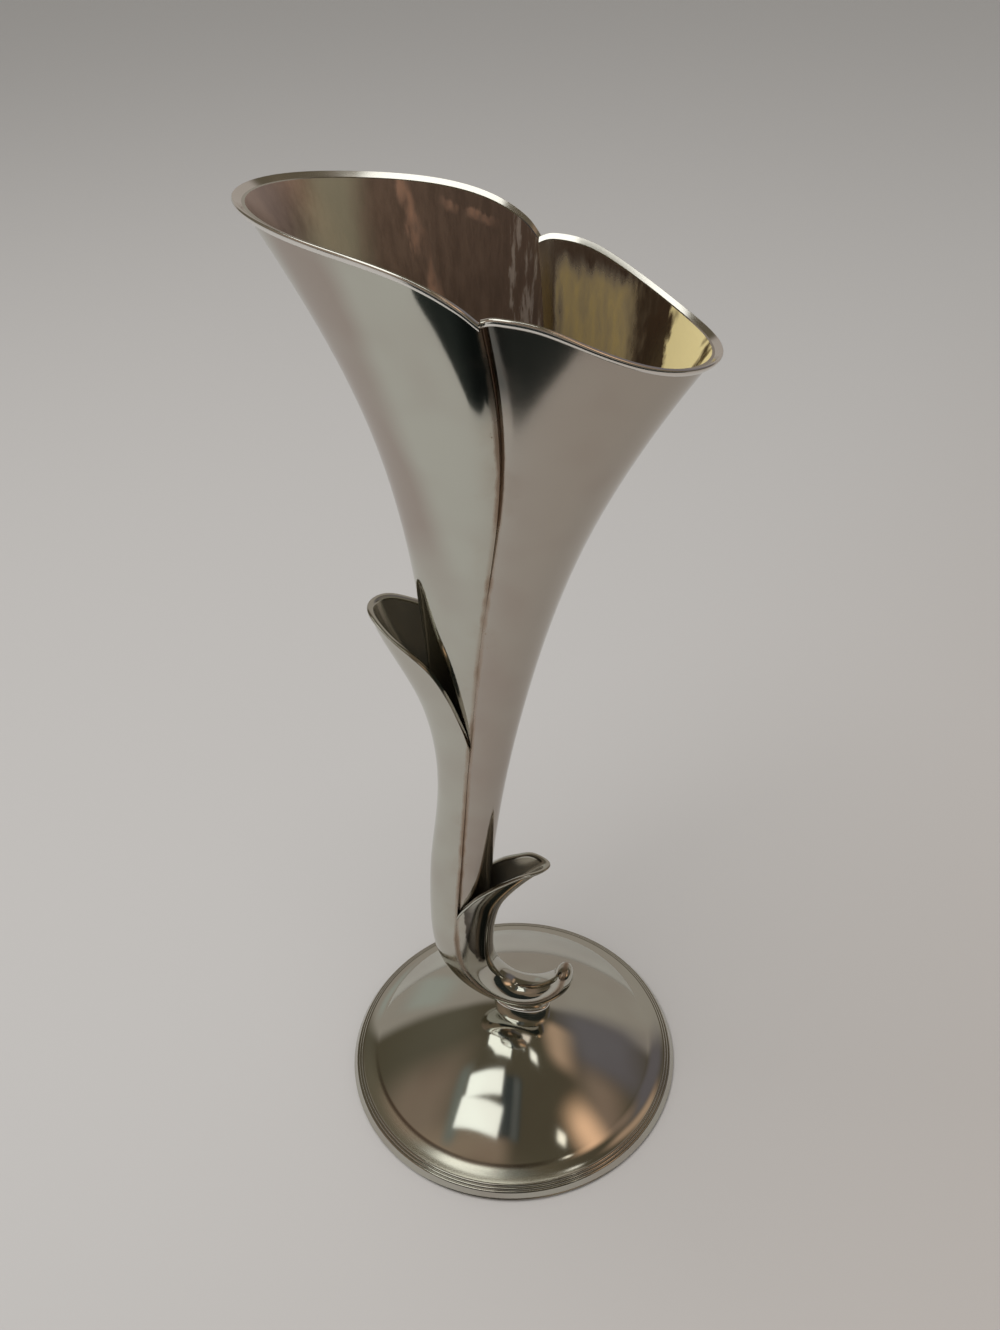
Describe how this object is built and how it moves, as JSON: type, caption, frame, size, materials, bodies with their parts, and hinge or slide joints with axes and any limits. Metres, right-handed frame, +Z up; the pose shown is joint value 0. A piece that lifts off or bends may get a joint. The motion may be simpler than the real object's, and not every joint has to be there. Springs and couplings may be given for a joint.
{
  "type": "trumpet vase",
  "caption": "Tall silver trumpet vase with a lobed slanting mouth, standing in curled leaves on a round domed foot.",
  "frame": {"origin": "centre of the foot's underside, on the baize", "axes": "+Z up, +X towards the low side of the mouth and the scroll's tip, Y across the mirror plane"},
  "size_m": [0.0646, 0.0646, 0.1689],
  "materials": {
    "silver_sheet": "polished, with fine wear and tarnish in the creases",
    "silver_wire": "polished wire",
    "silver_cast": "polished casting",
    "brass_fixing": "turned",
    "pitch": "cast pitch and plaster",
    "tinned_iron": "plain sheet",
    "baize": "short wool nap"
  },
  "bodies": {
    "root": {"left_petal": "silver_sheet", "right_petal": "silver_sheet", "left_rim": "silver_wire", "right_rim": "silver_wire", "stem_plug": "silver_sheet", "left_leaf": "silver_sheet", "right_leaf": "silver_sheet", "left_leaf_edge": "silver_wire", "right_leaf_edge": "silver_wire", "scroll_nose": "silver_cast", "scroll_saddle": "silver_cast", "foot_stud": "brass_fixing", "foot_washer": "brass_fixing", "foot_nut": "brass_fixing", "foot_dome": "silver_sheet", "foot_rim": "silver_wire", "foot_loading": "pitch", "base_plate": "tinned_iron", "felt_pad": "baize"}
  },
  "joints": []
}
